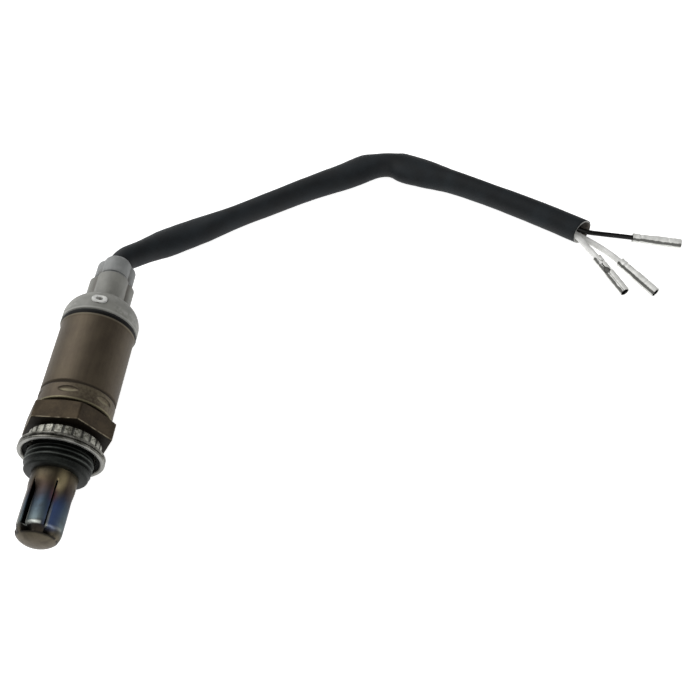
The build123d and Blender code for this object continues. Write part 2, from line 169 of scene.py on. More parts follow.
class GeoTree:
    # a geometry node tree with an input for each named size, for one modifier
    def __init__(self, name, sizes):
        self.tree = bpy.data.node_groups.new(name, "GeometryNodeTree")
        face = self.tree.interface
        face.new_socket("Geometry", in_out="INPUT", socket_type="NodeSocketGeometry")
        for label, value in {**sizes, "Material": None}.items():
            kind = {int: "Int", float: "Float"}.get(type(value), "Material")
            socket = face.new_socket(label, in_out="INPUT", socket_type="NodeSocket" + kind)
            if value is not None:
                socket.default_value = value
        face.new_socket("Geometry", in_out="OUTPUT", socket_type="NodeSocketGeometry")
        self.inNode = self.tree.nodes.new("NodeGroupInput")
        self.outNode = self.tree.nodes.new("NodeGroupOutput")

    def value(self, label):
        return Wire(self.tree, self.inNode.outputs[label])

    def close(self, wire):
        smooth = wire.add("GeometryNodeSetShadeSmooth", {}, {"Geometry": wire})
        whole = smooth.add("GeometryNodeRealizeInstances", {}, {"Geometry": smooth})
        coated = whole.add("GeometryNodeSetMaterial", {},
                           {"Geometry": whole, "Material": self.value("Material")})
        self.tree.links.new(coated.socket, self.outNode.inputs[0])

    def run(self, name, places, edges, **values):
        # grows the tree's result from a plain start mesh and gives it back as a plain mesh
        start = bpy.data.meshes.new(name + "Start")
        start.from_pydata(places, edges, [])
        piece = bpy.data.objects.new(name, start)
        bpy.context.collection.objects.link(piece)
        modifier = piece.modifiers.new("nodes", "NODES")
        modifier.node_group = self.tree
        for item in self.tree.interface.items_tree:
            if item.in_out == "INPUT" and item.name in values:
                modifier[item.identifier] = values[item.name]
        piece.update_tag()
        bpy.context.view_layer.update()
        graph = bpy.context.evaluated_depsgraph_get()
        mesh = bpy.data.meshes.new_from_object(piece.evaluated_get(graph), depsgraph=graph,
                                               preserve_all_data_layers=True)
        piece.modifiers.remove(modifier)
        piece.data = mesh
        mesh.name = name
        bpy.data.meshes.remove(start)
        return piece


def newFinish(name, metallic=0.0, roughness=0.5, **more):
    # a material with its shader, and the wire that holds places on the piece
    material = bpy.data.materials.new(name)
    material.use_nodes = True
    tree = material.node_tree
    tree.nodes.clear()
    output = tree.nodes.new("ShaderNodeOutputMaterial")
    shader = tree.nodes.new("ShaderNodeBsdfPrincipled")
    tree.links.new(shader.outputs[0], output.inputs[0])
    shader.inputs["Metallic"].default_value = metallic
    shader.inputs["Roughness"].default_value = roughness
    for key, value in more.items():
        shader.inputs[key].default_value = value
    spot = Wire(tree, tree.nodes.new("ShaderNodeTexCoord").outputs["Object"])
    return material, shader, spot


def feed(shader, colour=None, roughness=None, metallic=None, height=None, bump=0.02):
    # links the wires that vary over a piece to its shader; bump is the height's size in mm
    if height:
        normal = height.add("ShaderNodeBump", {}, {"Height": height, "Strength": 1.0,
                                                   "Distance": bump * mm})
        normal.tree.links.new(normal.socket, shader.inputs["Normal"])
    for wire, name in ((colour, "Base Color"), (roughness, "Roughness"), (metallic, "Metallic")):
        if wire:
            wire.tree.links.new(wire.socket, shader.inputs[name])


def grey(value):
    return (value, value, value, 1)


def shade(red, green, blue):
    # an eight-bit screen colour as the renderer's own numbers
    parts = [c / 255 for c in (red, green, blue)]
    parts = [c / 12.92 if c < 0.04045 else ((c + 0.055) / 1.055) ** 2.4 for c in parts]
    return (*parts, 1)


def coat(colour, *coats):
    # each coat covers the colours under it by its share
    for share, tone in coats:
        colour = share.mix(colour, shade(*tone))
    return colour


def cloudedFinish(name, dark, light, roughness, size=2.0, reach=None, grain=(0.3, 2.0),
                  bump=0.02, **more):
    # two tones in clouds of one size over a fine grain
    material, shader, spot = newFinish(name, roughness=roughness, **more)
    cloud = spot.noise(size, 4.0)
    tone = cloud.step(*reach) if reach else cloud
    feed(shader, colour=tone.mix(shade(*dark), shade(*light)),
         roughness=cloud * 0.2 + (roughness - 0.1), height=spot.noise(*grain), bump=bump)
    return material


def takePlace(piece, node):
    # stands for a node on the sensor
    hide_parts(node)
    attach(piece, "root")


def giveWall(piece, thickness, finishes, rim=0, side=-1):
    # a sheet gets a wall: the new face is in the first of the finishes, its rims in slot rim
    for finish in finishes:
        piece.data.materials.append(finish)
    wall = piece.modifiers.new("wall", "SOLIDIFY")
    wall.thickness = thickness * mm
    wall.offset = side
    wall.material_offset = 1
    wall.material_offset_rim = rim


# the camera looks down on the sensor from the side of its nose
view = {"place": (87.91, -118.36, 224.86), "turn": 5.32, "tilt": 55.43, "focal": 950.0}


def aimCamera():
    turn, tilt = radians(view["turn"]), radians(view["tilt"])
    right = Vector((cos(turn), sin(turn), 0))
    back = Vector((sin(turn) * cos(tilt), -cos(turn) * cos(tilt), sin(tilt)))
    camera = bpy.data.cameras.new("camera")
    camera.sensor_width = 36
    camera.lens = 36 * view["focal"] / 700
    camera.clip_start = 0.01
    camera.clip_end = 20
    eye = bpy.data.objects.new("camera", camera)
    bpy.context.collection.objects.link(eye)
    turned = Matrix((right, back.cross(right), back)).transposed().to_4x4()
    eye.matrix_world = Matrix.Translation(Vector(view["place"]) * mm) @ turned
    bpy.context.scene.camera = eye


aimCamera()
print("camera placed")

# the hose and the leads share one route; all lengths in mm
hose = {"radius": 3.9, "wall": 0.6, "ringStep": 0.7, "around": 64, "lump": 0.16,
        "lumpSize": 7.0, "strands": 20.0, "strandStep": 1.6, "shadeInside": (170.5, 174.5),
        # the open end's slant, and the shares of the length where it starts and where a
        # flattened stretch comes down on the surface
        "cutSide": 0.30, "cutUp": 0.20, "cutFrom": 0.93, "settles": (0.08, 0.16),
        "route": [(0, 56.6, 0), (0, 62.4, 0), (5.4, 68.6, -2.8), (11.8, 76.2, -6.1),
                  (22.0, 84.9, -7.75), (43.5, 99.4, -7.75), (64.5, 112.6, -7.75),
                  (75.5, 120.2, -7.75), (83.5, 119.6, -7.75), (98.3, 114.6, -7.75),
                  (113.5, 108.6, -7.75), (128.8, 101.8, -7.75), (143.8, 94.5, -7.75)],
        # half the width, half the height and the way it leans to the right, by distance
        "form": [(0, 3.6, 3.6, 0.0), (12, 3.8, 3.6, -0.2), (19, 4.4, 3.75, -0.4),
                 (26, 4.95, 3.75, -0.45), (34, 4.75, 3.75, -0.25), (42, 4.05, 3.9, 0.05),
                 (51, 3.6, 3.8, 0.0), (60, 3.7, 3.9, 0.12), (66, 3.8, 3.9, 0.05),
                 (75, 4.1, 3.85, -0.15), (81, 4.5, 3.75, -0.15), (89, 4.9, 3.74, 0.2),
                 (96, 5.15, 3.74, 0.05), (103, 4.35, 3.75, 0.6), (108, 5.05, 3.74, 0.4),
                 (112, 5.8, 3.74, 0.65), (117, 5.6, 3.74, 0.5), (124, 4.7, 3.75, 0.25),
                 (131, 3.85, 3.9, 0.1), (140, 3.65, 3.9, 0.05), (150, 3.85, 3.85, -0.15),
                 (160, 4.0, 3.9, -0.25), (176, 4.15, 3.9, -0.25)],
        # the lowest and highest that the table's halves and leans may be
        "halfRange": (3.0, 6.0), "leanRange": (-1.0, 1.0)}
leads = {
    "black": {"node": "black_wire", "radius": 0.8, "turn": 90, "mouthPlace": (0.4, -0.1),
              "dip": (151.6, 96.6, -10.3), "terminal": "connector_black",
              "from": (160.7, 95.8), "to": (176.2, 94.5)},
    "whiteA": {"node": "white_wire_a", "radius": 1.0, "turn": 210, "mouthPlace": (-0.2, -1.9),
               "dip": (149.6, 91.1, -10.3), "terminal": "connector_white_a",
               "from": (156.0, 85.0), "to": (166.3, 73.3)},
    "whiteB": {"node": "white_wire_b", "radius": 1.0, "turn": 330, "mouthPlace": (-2.05, -0.25),
               "dip": (145.6, 90.4, -10.1), "terminal": "connector_white_b",
               "from": (148.7, 86.0), "to": (156.4, 73.2)},
}
# where the leads run inside the boot, and how far before and inside its terminal each is straight
leadRun = {"pitch": 2.05, "start": 31.005, "middle": 44.0, "top": 55.5, "bowed": 1.02,
           "lift": 0.02, "before": 2.6, "inside": 3.0}


def routeCurve(name, points, radius=0.0):
    # a smooth spline that has the route's points as its control points
    curve = bpy.data.curves.new(name, "CURVE")
    curve.dimensions = "3D"
    spline = curve.splines.new("NURBS")
    spline.points.add(len(points) - 1)
    for point, spot in zip(spline.points, points):
        point.co = (*(Vector(spot) * mm), 1)
    spline.order_u = 3
    spline.use_endpoint_u = True
    spline.resolution_u = 12
    curve.resolution_u = 12
    if radius:
        curve.bevel_depth = radius * mm
        curve.bevel_resolution = 5
        curve.use_fill_caps = True
    piece = bpy.data.objects.new(name, curve)
    bpy.context.collection.objects.link(piece)
    return piece


def beside(points, index, side, lift):
    # the place to the left of a route's point, and above it
    runs = []
    for first, last in ((index - 1, index), (index, index + 1)):
        if first >= 0 and last < len(points):
            run = Vector(points[last]) - Vector(points[first])
            runs.append(Vector((run.x, run.y, 0)).normalized())
    heading = (runs[0] + runs[-1]).normalized()
    left = Vector((-heading.y, heading.x, 0)) * (side / runs[0].dot(heading))
    return Vector(points[index]) + left + Vector((0, 0, lift))


def terminalLine(lead):
    # where a terminal starts and the way it points, lying on the surface
    lay = rest + terminal["radius"]
    start = Vector((*lead["from"], lay))
    return start, (Vector((*lead["to"], lay)) - start).normalized()


def leadRoute(lead):
    # up through the boot, beside the hose's middle, out of its mouth and into the terminal
    x = leadRun["pitch"] * cos(radians(lead["turn"]))
    z = leadRun["pitch"] * sin(radians(lead["turn"]))
    route = [(x, leadRun["start"], z),
             (x * leadRun["bowed"], leadRun["middle"], z * leadRun["bowed"]),
             (x, leadRun["top"], z)]
    last = len(hose["route"]) - 1
    route += [beside(hose["route"], i, -x, z) for i in range(1, last)]
    mouth = beside(hose["route"], last, *lead["mouthPlace"])
    route += [(route[-1] + mouth) * 0.5 + Vector((0, 0, leadRun["lift"])), mouth, lead["dip"]]
    start, heading = terminalLine(lead)
    return route + [start - heading * leadRun["before"], start + heading * leadRun["inside"]]


def lineOf(curveObject):
    # the points of a curve's own line, with no thickness
    bare = bpy.data.objects.new("bare", curveObject.data.copy())
    bare.data.bevel_depth = 0
    mesh = bpy.data.meshes.new_from_object(bare)
    points = [v.co.copy() for v in mesh.vertices]
    bpy.data.objects.remove(bare)
    bpy.data.meshes.remove(mesh)
    return points


def lengthOf(points):
    return sum((b - a).length for a, b in zip(points, points[1:]))


def hoseTree(length, sizes):
    # a tube along a line, flattened where it was squeezed and never through the floor
    geo = GeoTree("hoseSkin", sizes)
    start = geo.value("Geometry")
    line = start.add("GeometryNodeMeshToCurve", {}, {"Mesh": start})
    line = line.add("GeometryNodeResampleCurve", {"mode": "LENGTH"},
                    {"Curve": line, "Length": geo.value("Ring Step")})
    line, along, centre, tangent = line.keep(
        along=line.add("GeometryNodeSplineParameter", out="Length"),
        centre=line.add("GeometryNodeInputPosition"),
        tangent=line.add("GeometryNodeInputTangent"))
    ring = line.add("GeometryNodeCurvePrimitiveCircle", {"mode": "RADIUS"},
                    {"Resolution": geo.value("Around"), "Radius": geo.value("Radius")})
    ring, part = ring.keep(part=ring.add("GeometryNodeSplineParameter", out="Factor"))
    tube = line.add("GeometryNodeCurveToMesh", {}, {"Curve": line, "Profile Curve": ring})
    tube = tube.store("hoseAlong", along).store("hoseRound", part)
    here = tube.add("GeometryNodeInputPosition")
    offset = here - centre
    share = along / length

    def form(column, limits):  # one column of the hose's form table, by distance
        low, high = limits
        points = [(min(row[0] * mm / length, 1.0), (row[column] - low) / (high - low))
                  for row in hose["form"]]
        curve = share.add("ShaderNodeFloatCurve", {"points": points}, {"Value": share})
        return curve * (high - low) + low

    wide = form(1, hose["halfRange"]) / hose["radius"]
    tall = form(2, hose["halfRange"]) / hose["radius"]
    lean = form(3, hose["leanRange"]) * mm
    lump = here.noise(hose["lumpSize"], 2.0) - 0.5
    lump = 1.0 + lump * (geo.value("Lump") / hose["radius"] / mm * 2.0)
    right = tangent.add("ShaderNodeVectorMath", {"operation": "CROSS_PRODUCT"},
                        {0: tangent, 1: (0, 0, 1)})
    shifted = centre + right * lean
    left = offset.dot(right) * -1.0
    cut = left * hose["cutSide"] - offset.axis("Z") * hose["cutUp"]
    shifted = shifted + tangent * (cut * share.step(hose["cutFrom"], 1.0))
    # a flattened stretch still lies on the surface
    sag = (1.0 - tall) * share.step(*hose["settles"]) * geo.value("Radius")
    formed = (offset.axis("X") * wide * lump).join(offset.axis("Y") * wide * lump,
                                                   offset.axis("Z") * tall - sag)
    moved = shifted + formed
    lowest = moved.axis("Z").maths("MAXIMUM", rest * mm)
    geo.close(tube.move(moved.axis("X").join(moved.axis("Y"), lowest)))
    return geo


def hoseFinish():
    # a varnished braid: two sets of strands that wind opposite ways, and some dust
    material, shader, spot = newFinish("hoseVarnish", roughness=0.5, **{"Specular IOR Level": 0.25})
    along = spot.stored("hoseAlong")
    part = spot.stored("hoseRound")
    strands = []
    for way in (1.0, -1.0):
        wound = part * hose["strands"] + along * (way / (hose["strandStep"] * mm))
        strands.append((wound.maths("FRACT") - 0.5).maths("ABSOLUTE") * 2.0)
    weave = strands[0] * strands[1]
    dirt = spot.noise(7.0, 5.0)
    fine = spot.noise(0.6, 3.0)
    colour = (weave * 0.08 + dirt).step(0.35, 0.75)
    feed(shader, colour=colour.mix(shade(10, 14, 17), shade(22, 28, 32)),
         roughness=0.46 + dirt * 0.2 + fine * 0.1, height=weave * 0.35 + fine * 0.65, bump=0.03)
    return material


def hoseInside():
    # pale lining near the open end, with painted shade further in
    material, shader, spot = newFinish("hoseInside", roughness=0.8)
    dirt = spot.noise(2.0, 4.0)
    along = spot.stored("hoseAlong")
    deep = 1.0 - along.step(*[distance * mm for distance in hose["shadeInside"]])
    pale = dirt.step(0.3, 0.7).mix(shade(70, 65, 60), shade(108, 101, 94))
    feed(shader, colour=deep.mix(pale, shade(6, 6, 6)),
         roughness=0.7 + dirt * 0.2, height=spot.noise(0.5, 3.0), bump=0.04)
    return material


def makeHose():
    guide = routeCurve("hoseGuide", hose["route"])
    points = lineOf(guide)
    bpy.data.objects.remove(guide)
    length = lengthOf(points)
    edges = [(i, i + 1) for i in range(len(points) - 1)]
    sizes = {"Radius": hose["radius"] * mm, "Ring Step": hose["ringStep"] * mm,
             "Around": hose["around"], "Lump": hose["lump"] * mm}
    piece = hoseTree(length, sizes).run("hose", points, edges, Material=hoseFinish(), **sizes)
    frayed = cloudedFinish("hoseCut", (120, 120, 118), (176, 176, 172), 0.75, size=0.8,
                           reach=(0.3, 0.7), grain=(0.3, 3.0), bump=0.05)
    giveWall(piece, hose["wall"], [hoseInside(), frayed], rim=2)
    takePlace(piece, "sleeving")


def wireFinish(name, dark, light, roughness, **more):
    # smeared insulation with a few specks
    material, shader, spot = newFinish(name, roughness=roughness, **more)
    smear = spot.noise(3.0, 4.0)
    speck = spot.noise(0.5, 3.0).step(0.62, 0.74) * 0.5
    worn = speck.mix(smear.step(0.3, 0.75).mix(dark, light), dark)
    feed(shader, colour=worn, roughness=smear * 0.2 + (roughness - 0.1),
         height=spot.noise(0.25, 2.0), bump=0.01)
    return material


def stationGrid(geo, around):
    # a flat grid with a row for each station of the tree's profile: the grid, the share of
    # the way around, the station's three numbers and its row
    profile = geo.value("Geometry")
    stations = geo.value("Stations")
    grid = profile.add("GeometryNodeMeshGrid", {},
                       {"Size X": 1.0, "Size Y": 1.0, "Vertices X": around,
                        "Vertices Y": stations})
    here = grid.add("GeometryNodeInputPosition")
    row = (here.axis("Y") + 0.5) * (stations - 1)
    station = here.add("GeometryNodeSampleIndex", {"data_type": "FLOAT_VECTOR"},
                       {"Geometry": profile, "Value": here, "Index": row.maths("ROUND")})
    return grid, here.axis("X") + 0.5, station, row


# one sheet-metal part three times: insulation wings, wire crimp, open neck, rolled socket
terminal = {"radius": 1.6, "around": 56, "sheet": 0.28, "rowsBetween": 3, "sharp": 40.0,
            "roll": {"black": 150.0, "whiteA": 165.0, "whiteB": -30.0},
            # the strip's angle and half width place a painted dark reflection on the tin; the last
            # pair is where painted shade fills the socket
            "darkReflectionTurn": 62.0, "darkReflectionHalf": 0.55, "socketShade": (9.5, 11.5),
            # radius, distance along, and the degrees left open between the sheet's edges
            "form": [(1.50, 0.0, 46), (1.58, 0.15, 34), (1.5, 0.5, 26), (1.46, 1.0, 24),
                     (1.5, 1.6, 26), (1.56, 1.95, 34), (1.42, 2.25, 70), (1.34, 2.5, 96),
                     (1.36, 2.8, 84), (1.44, 3.1, 40), (1.47, 3.4, 24), (1.46, 4.0, 18),
                     (1.46, 4.6, 18), (1.45, 5.0, 26), (1.42, 5.3, 60), (1.43, 5.7, 104),
                     (1.47, 6.2, 112), (1.54, 6.7, 96),
                     (1.58, 7.1, 52), (1.6, 7.4, 20), (1.6, 7.7, 8), (1.6, 9.3, 4),
                     (1.6, 10.9, 4), (1.54, 11.15, 4), (1.54, 11.35, 4), (1.6, 11.6, 4),
                     (1.6, 13.4, 4), (1.6, 15.1, 4), (1.56, 15.35, 6), (1.5, 15.5, 8)]}


def terminalTree():
    # bends a flat grid of stations into a rolled sheet, open along one side
    geo = GeoTree("terminalSheet", {"Around": terminal["around"], "Stations": 10, "Roll": 0.0})
    grid, share, station, row = stationGrid(geo, geo.value("Around"))
    gap = station.axis("Z") * (pi / 180)
    angle = share * (2 * pi - gap) + gap * 0.5 + geo.value("Roll")
    radius = station.axis("X")
    grid = grid.store("sheetTurn", angle).store("sheetAlong", station.axis("Y"))
    spot = station.axis("Y").join(radius * angle.maths("SINE"), radius * angle.maths("COSINE"))
    geo.close(grid.move(spot * mm))
    return geo


def tinFinish():
    # bright tin, with a painted dark reflection in a strip along one side
    material, shader, spot = newFinish("tinPlate", metallic=0.2, roughness=0.45)
    cloud = spot.noise(1.8, 4.0)
    scratch = spot.noise(0.5, 3.0)
    turn = spot.stored("sheetTurn") + radians(terminal["darkReflectionTurn"]) + (cloud - 0.5) * 0.5
    strip = turn.maths("WRAP", pi, -pi).hump(0.0, terminal["darkReflectionHalf"]).step(0.1, 0.6)
    bright = cloud.step(0.35, 0.65).mix(shade(208, 208, 204), shade(228, 228, 224))
    feed(shader, colour=(strip * 0.92).mix(bright, shade(66, 66, 62)),
         roughness=0.38 + scratch * 0.2, height=scratch, bump=0.006)
    return material


def socketFinish():
    # the sheet's inner side: grey along the crimps, with painted shade down the socket
    material, shader, spot = newFinish("tinInside", metallic=0.3, roughness=0.6)
    cloud = spot.noise(1.8, 4.0)
    bright = cloud.mix(shade(150, 150, 146), shade(182, 182, 178))
    deep = spot.stored("sheetAlong").step(*terminal["socketShade"])
    feed(shader, colour=deep.mix(bright, shade(6, 6, 6)),
         roughness=0.5 + cloud * 0.3, height=cloud, bump=0.01)
    return material


tin = tinFinish()
tinInside = socketFinish()
sheetTree = terminalTree()


def smoothRows(rows, count):
    # more stations between a form table's rows, on a smooth line through them
    whole = []
    for i in range(len(rows) - 1):
        around = [rows[max(0, min(len(rows) - 1, i + k))] for k in (-1, 0, 1, 2)]
        for j in range(count):
            t = j / count
            whole.append(tuple(
                b + 0.5 * t * (c - a + t * (2 * a - 5 * b + 4 * c - d
                                            + t * (3 * (b - c) + d - a)))
                for a, b, c, d in zip(*around)))
    return whole + [rows[-1]]


def makeTerminal(name, lead):
    rows = smoothRows(terminal["form"], terminal["rowsBetween"])
    piece = sheetTree.run(name + "Terminal", rows, [], Stations=len(rows), Material=tinInside,
                          Around=terminal["around"], Roll=radians(terminal["roll"][name]))
    start, heading = terminalLine(lead)
    side = Vector((0, 0, 1)).cross(heading)
    turned = Matrix((heading, side, Vector((0, 0, 1)))).transposed().to_4x4()
    piece.data.transform(Matrix.Translation(start * mm) @ turned)
    piece.data.set_sharp_from_angle(angle=radians(terminal["sharp"]))
    giveWall(piece, terminal["sheet"], [tin], rim=1, side=1)
    takePlace(piece, lead["terminal"])
    return piece


makeHose()
black = wireFinish("blackInsulation", shade(2, 2, 2), shade(6, 6, 6), 0.3,
                   **{"Specular IOR Level": 0.22})
white = wireFinish("whiteInsulation", shade(206, 206, 203), shade(230, 230, 227), 0.42)
insulation = {"black": black, "whiteA": white, "whiteB": white}
for name, lead in leads.items():
    curve = routeCurve(name + "Lead", leadRoute(lead), lead["radius"])
    curve.data.materials.append(insulation[name])
    takePlace(curve, lead["node"])
    line = lineOf(curve)
    makeTerminal(name, lead)
print("hose and leads laid")

# white paper that keeps its own brightness, so that shadows stay faint
room = {"size": 3.0, "below": 0.02, "paper": 0.70, "glow": 0.86,
        "key": 3.2, "keyPlace": (-0.42, 0.34, 0.52), "keySize": 0.5,
        "fill": 1.2, "fillPlace": (0.25, -0.5, 0.5), "fillSize": 0.6, "aim": (0.05, 0.04, 0),
        # the sky's level, and what each soft patch of it adds: its way, its reach, its share
        "sky": 0.38, "patches": [((-0.58, 0.48, 0.66), (0.70, 1.0), 0.9),
                                 ((0.42, 0.48, 0.77), (0.72, 0.98), -0.12),
                                 ((0.1, -0.7, 0.5), (0.6, 1.0), 0.35)]}


def makeRoom():
    size = room["size"]
    mesh = bpy.data.meshes.new("floor")
    mesh.from_pydata([(x, y, (rest - room["below"]) * mm) for x, y in
                      ((-size, -size), (size, -size), (size, size), (-size, size))], [],
                     [(0, 1, 2, 3)])
    floor = bpy.data.objects.new("floor", mesh)
    bpy.context.collection.objects.link(floor)
    material, shader, spot = newFinish("paper", roughness=0.95)
    shader.inputs["Base Color"].default_value = grey(room["paper"])
    shader.inputs["Specular IOR Level"].default_value = 0.0
    shader.inputs["Emission Color"].default_value = grey(1.0)
    shader.inputs["Emission Strength"].default_value = room["glow"]
    mesh.materials.append(material)
    world = bpy.data.worlds.new("studio")
    world.use_nodes = True
    bpy.context.scene.world = world
    tree = world.node_tree
    tree.nodes.clear()
    output = tree.nodes.new("ShaderNodeOutputWorld")
    background = tree.nodes.new("ShaderNodeBackground")
    tree.links.new(background.outputs[0], output.inputs[0])
    direction = Wire(tree, tree.nodes.new("ShaderNodeTexCoord").outputs["Generated"])
    level = room["sky"]
    for way, reach, share in room["patches"]:
        level = level + direction.dot(tuple(Vector(way).normalized())).step(*reach) * share
    tree.links.new(level.socket, background.inputs["Strength"])
    for name in ("key", "fill"):
        lampAt = Vector(room[name + "Place"])
        light = bpy.data.lights.new(name, "AREA")
        light.size = room[name + "Size"]
        light.energy = room[name]
        lamp = bpy.data.objects.new(name, light)
        bpy.context.collection.objects.link(lamp)
        aim = Vector(room["aim"]) - lampAt
        lamp.matrix_world = (Matrix.Translation(lampAt)
                             @ aim.to_track_quat("-Z", "Y").to_matrix().to_4x4())


makeRoom()
bpy.context.scene.view_settings.view_transform = "Standard"
print("room made")


def turnedTree(name, form, drop, sizes):
    # a body turned about the sensor's axis from a profile, then shaped by its own rule
    geo = GeoTree(name, sizes)
    grid, share, station, row = stationGrid(geo, geo.value("Around") + 1)
    angle = share * (2 * pi) + geo.value("Start")
    if drop:
        grid = grid.add("GeometryNodeDeleteGeometry", {"domain": "FACE", "mode": "ALL"},
                        {"Geometry": grid, "Selection": drop(geo, row, angle)})
    radius = form(geo, station.axis("X"), station.axis("Y"), station.axis("Z"), angle)
    spot = (radius * angle.maths("COSINE")).join(station.axis("Y"), radius * angle.maths("SINE"))
    whole = grid.move(spot * mm)
    geo.close(whole.add("GeometryNodeMergeByDistance", {}, {"Geometry": whole, "Distance": 1e-6}))
    return geo


sharpAngle = 34.0  # degrees between faces that don't shade as one


def turnPiece(name, node, form, profile, material, drop=None, **sizes):
    # the profile runs (radius, along, extra) with the outside towards the nose
    sizes = {"Around": 360, "Start": 0.0, **sizes, "Stations": len(profile)}
    rows = [(*row, 0.0)[:3] for row in profile]
    piece = turnedTree(name, form, drop, sizes).run(name, rows, [], Material=material, **sizes)
    piece.data.set_sharp_from_angle(angle=radians(sharpAngle))
    takePlace(piece, node)
    return piece


def between(first, last, step):
    # points on a straight run of a profile, without its last one
    run = sqrt((last[0] - first[0]) ** 2 + (last[1] - first[1]) ** 2)
    count = max(1, round(run / step))
    return [tuple(a + (b - a) * i / count for a, b in zip(first, last)) for i in range(count)]


def bow(middle, radius, first, last, count, extra=0.0):
    # points on an arc of a profile, angles in degrees from outwards towards the leads
    angles = [radians(first + (last - first) * i / count) for i in range(count + 1)]
    return [(middle[0] + radius * cos(a), middle[1] + radius * sin(a), extra) for a in angles]


body = {"flats": 11.0, "cornerTurn": 3.3, "corner": 12.6, "edge": 0.22, "hexTop": 5.6,
        "neck": 10.0, "neckTop": 11.0, "gap": 9.5, "sleeveAt": 6.6, "relief": 8.15,
        "threadRadius": 9.0, "pitch": 1.5, "threadDepth": 0.9, "threadTurn": 0.27,
        "threadFrom": -6.15, "threadTo": -9.95, "threadRows": 96, "pilot": 8.5, "end": -11.6,
        "bore": 6.1, "stackBore": 6.9, "seat": -6.0}


def housingForm(geo, radius, along, extra, angle):
    # a hexagon limits the wide stations; a negative extra is the thread's share
    side = (angle - geo.value("Start") - pi / 6).maths("WRAP", pi / 6, -pi / 6)
    flat = (geo.value("Flats") - extra.maths("MAXIMUM", 0.0)) / side.maths("COSINE")
    winding = along / geo.value("Pitch") + (angle - geo.value("Start")) / (2 * pi)
    winding = winding + body["threadTurn"]
    crest = (winding.maths("FRACT") - 0.5).maths("ABSOLUTE") * 2.0
    cut = crest.step(0.10, 0.92) * geo.value("Depth") * (0.0 - extra).maths("MAXIMUM", 0.0)
    return radius.maths("MINIMUM", flat) - cut


def housingProfile():
    e, top, neck = body["edge"], body["hexTop"], body["neck"]
    # the neck, the gap under the sleeve, the chamfered hexagon and its rounded lower edge
    rows = [(body["stackBore"], body["neckTop"]), (neck - 0.3, body["neckTop"]),
            (neck, body["neckTop"] - 0.3), (neck, body["sleeveAt"]),
            (body["gap"], body["sleeveAt"]), (body["gap"], top + 0.02)]
    rows += [(9.7, top), (10.15, top), (10.3, top - 0.015)]
    rows += between((10.4, top - 0.04), (body["corner"] + 0.1, top - 0.6), 0.09)
    rows += [(body["corner"], y) for y in (4.96, 3.0, 1.0)]
    rows += [(body["corner"], e * (1 - sin(radians(a))), e * (1 - cos(radians(a))))
             for a in (0, 22, 45, 68, 90)]
    # the undercut, then the thread, whose negative extra says how deep it is cut
    relief, first, last = body["relief"], body["threadFrom"], body["threadTo"]
    rows += [(10.6, 0.0, e), (relief + 0.25, 0.0), (relief, -0.2), (relief, -5.6)]
    rows += between((relief, -5.6), (8.7, first), 0.2)
    for i in range(body["threadRows"]):
        y = first + i * (last - first) / (body["threadRows"] - 1)
        share = min(1.0, max(0.0, (first - 0.05 - y) / 0.5), max(0.0, (y + 0.05 - last) / 0.55))
        outer = min(body["threadRadius"], 8.7 + (first - y), 8.75 + max(0, y - last))
        rows.append((outer, y, -share))
    # the pilot, the bore and the step that carries the stack
    pilot, end, bore = body["pilot"], body["end"], body["bore"]
    rows += [(pilot + 0.1, -10.1), (pilot, -10.3), (pilot, end + 0.5),
             (pilot - 0.08, end + 0.3), (pilot - 0.28, end + 0.1), (pilot - 0.5, end),
             (bore + 0.1, end), (bore, end + 0.1), (bore, body["seat"]),
             (body["stackBore"], body["seat"]), (body["stackBore"], body["neckTop"])]
    return rows


def housingFinish():
    # the hexagon is dull brown with painted shade on its underside, the shank nearly black with
    # lighter crests
    material, shader, spot = newFinish("darkSteel", metallic=0.85, roughness=0.5)
    along = spot.along()
    shank = 1.0 - along.step(-1.6, -0.3)
    cloud = spot.noise(4.5, 5.0)
    speck = spot.noise(0.7, 3.0)
    # a light band along the hexagon's lower rounded edge: wear, and a painted highlight on the
    # bevel
    edgeWearAndGlint = along.hump(0.16, 0.22) * spot.noise(2.5, 3.0).step(0.35, 0.6)
    hexTone = (cloud * 0.7 + speck * 0.3).step(0.36, 0.66)
    # the last coat is painted shade on the face under the hexagon, towards the nose
    hexColour = coat(hexTone.mix(shade(52, 44, 34), shade(76, 66, 52)),
                     (edgeWearAndGlint * 0.8, (150, 142, 122)),
                     (1.0 - along.step(0.005, 0.04), (34, 28, 21)))
    out = (spot * (1.0, 0.0, 1.0)).reach()
    shankTone = (cloud * 0.5 + speck * 0.5).step(0.3, 0.7)
    # the thread's crests are painted lighter: wear, and a painted highlight along them
    worn = out.step(8.75, 8.98) * (0.35 + cloud.step(0.4, 0.62) * 0.5)
    shankColour = coat(shankTone.mix(shade(18, 20, 19), shade(36, 39, 36)),
                       (worn, (80, 84, 80)))
    feed(shader, colour=shank.mix(hexColour, shankColour),
         roughness=0.50 + cloud * 0.2 + speck * 0.1 - shank * 0.12,
         height=speck * 0.6 + cloud * 0.4, bump=0.03)
    return material


turnPiece("hexBody", "housing", housingForm, housingProfile(), housingFinish(),
          Start=radians(body["cornerTurn"]), Flats=body["flats"], Pitch=body["pitch"],
          Depth=body["threadDepth"])

ring = {"skirt": 9.8, "around": 384, "notches": 24.0, "notchDepth": 0.22, "notchTurn": 0.6,
        "ripple": 0.06}


def ringForm(geo, radius, along, extra, angle):
    # square notches in the skirt, and a fold that is not quite even
    wave = (angle * geo.value("Notches") + ring["notchTurn"]).maths("SINE").step(0.55, 0.85)
    ripple = (angle * 5.0).maths("SINE") * (angle * 3.0 + 1.0).maths("SINE")
    notched = radius - wave * geo.value("Depth") * extra.maths("MAXIMUM", 0.0)
    return notched + ripple * ring["ripple"] * extra.maths("MINIMUM", 0.0)


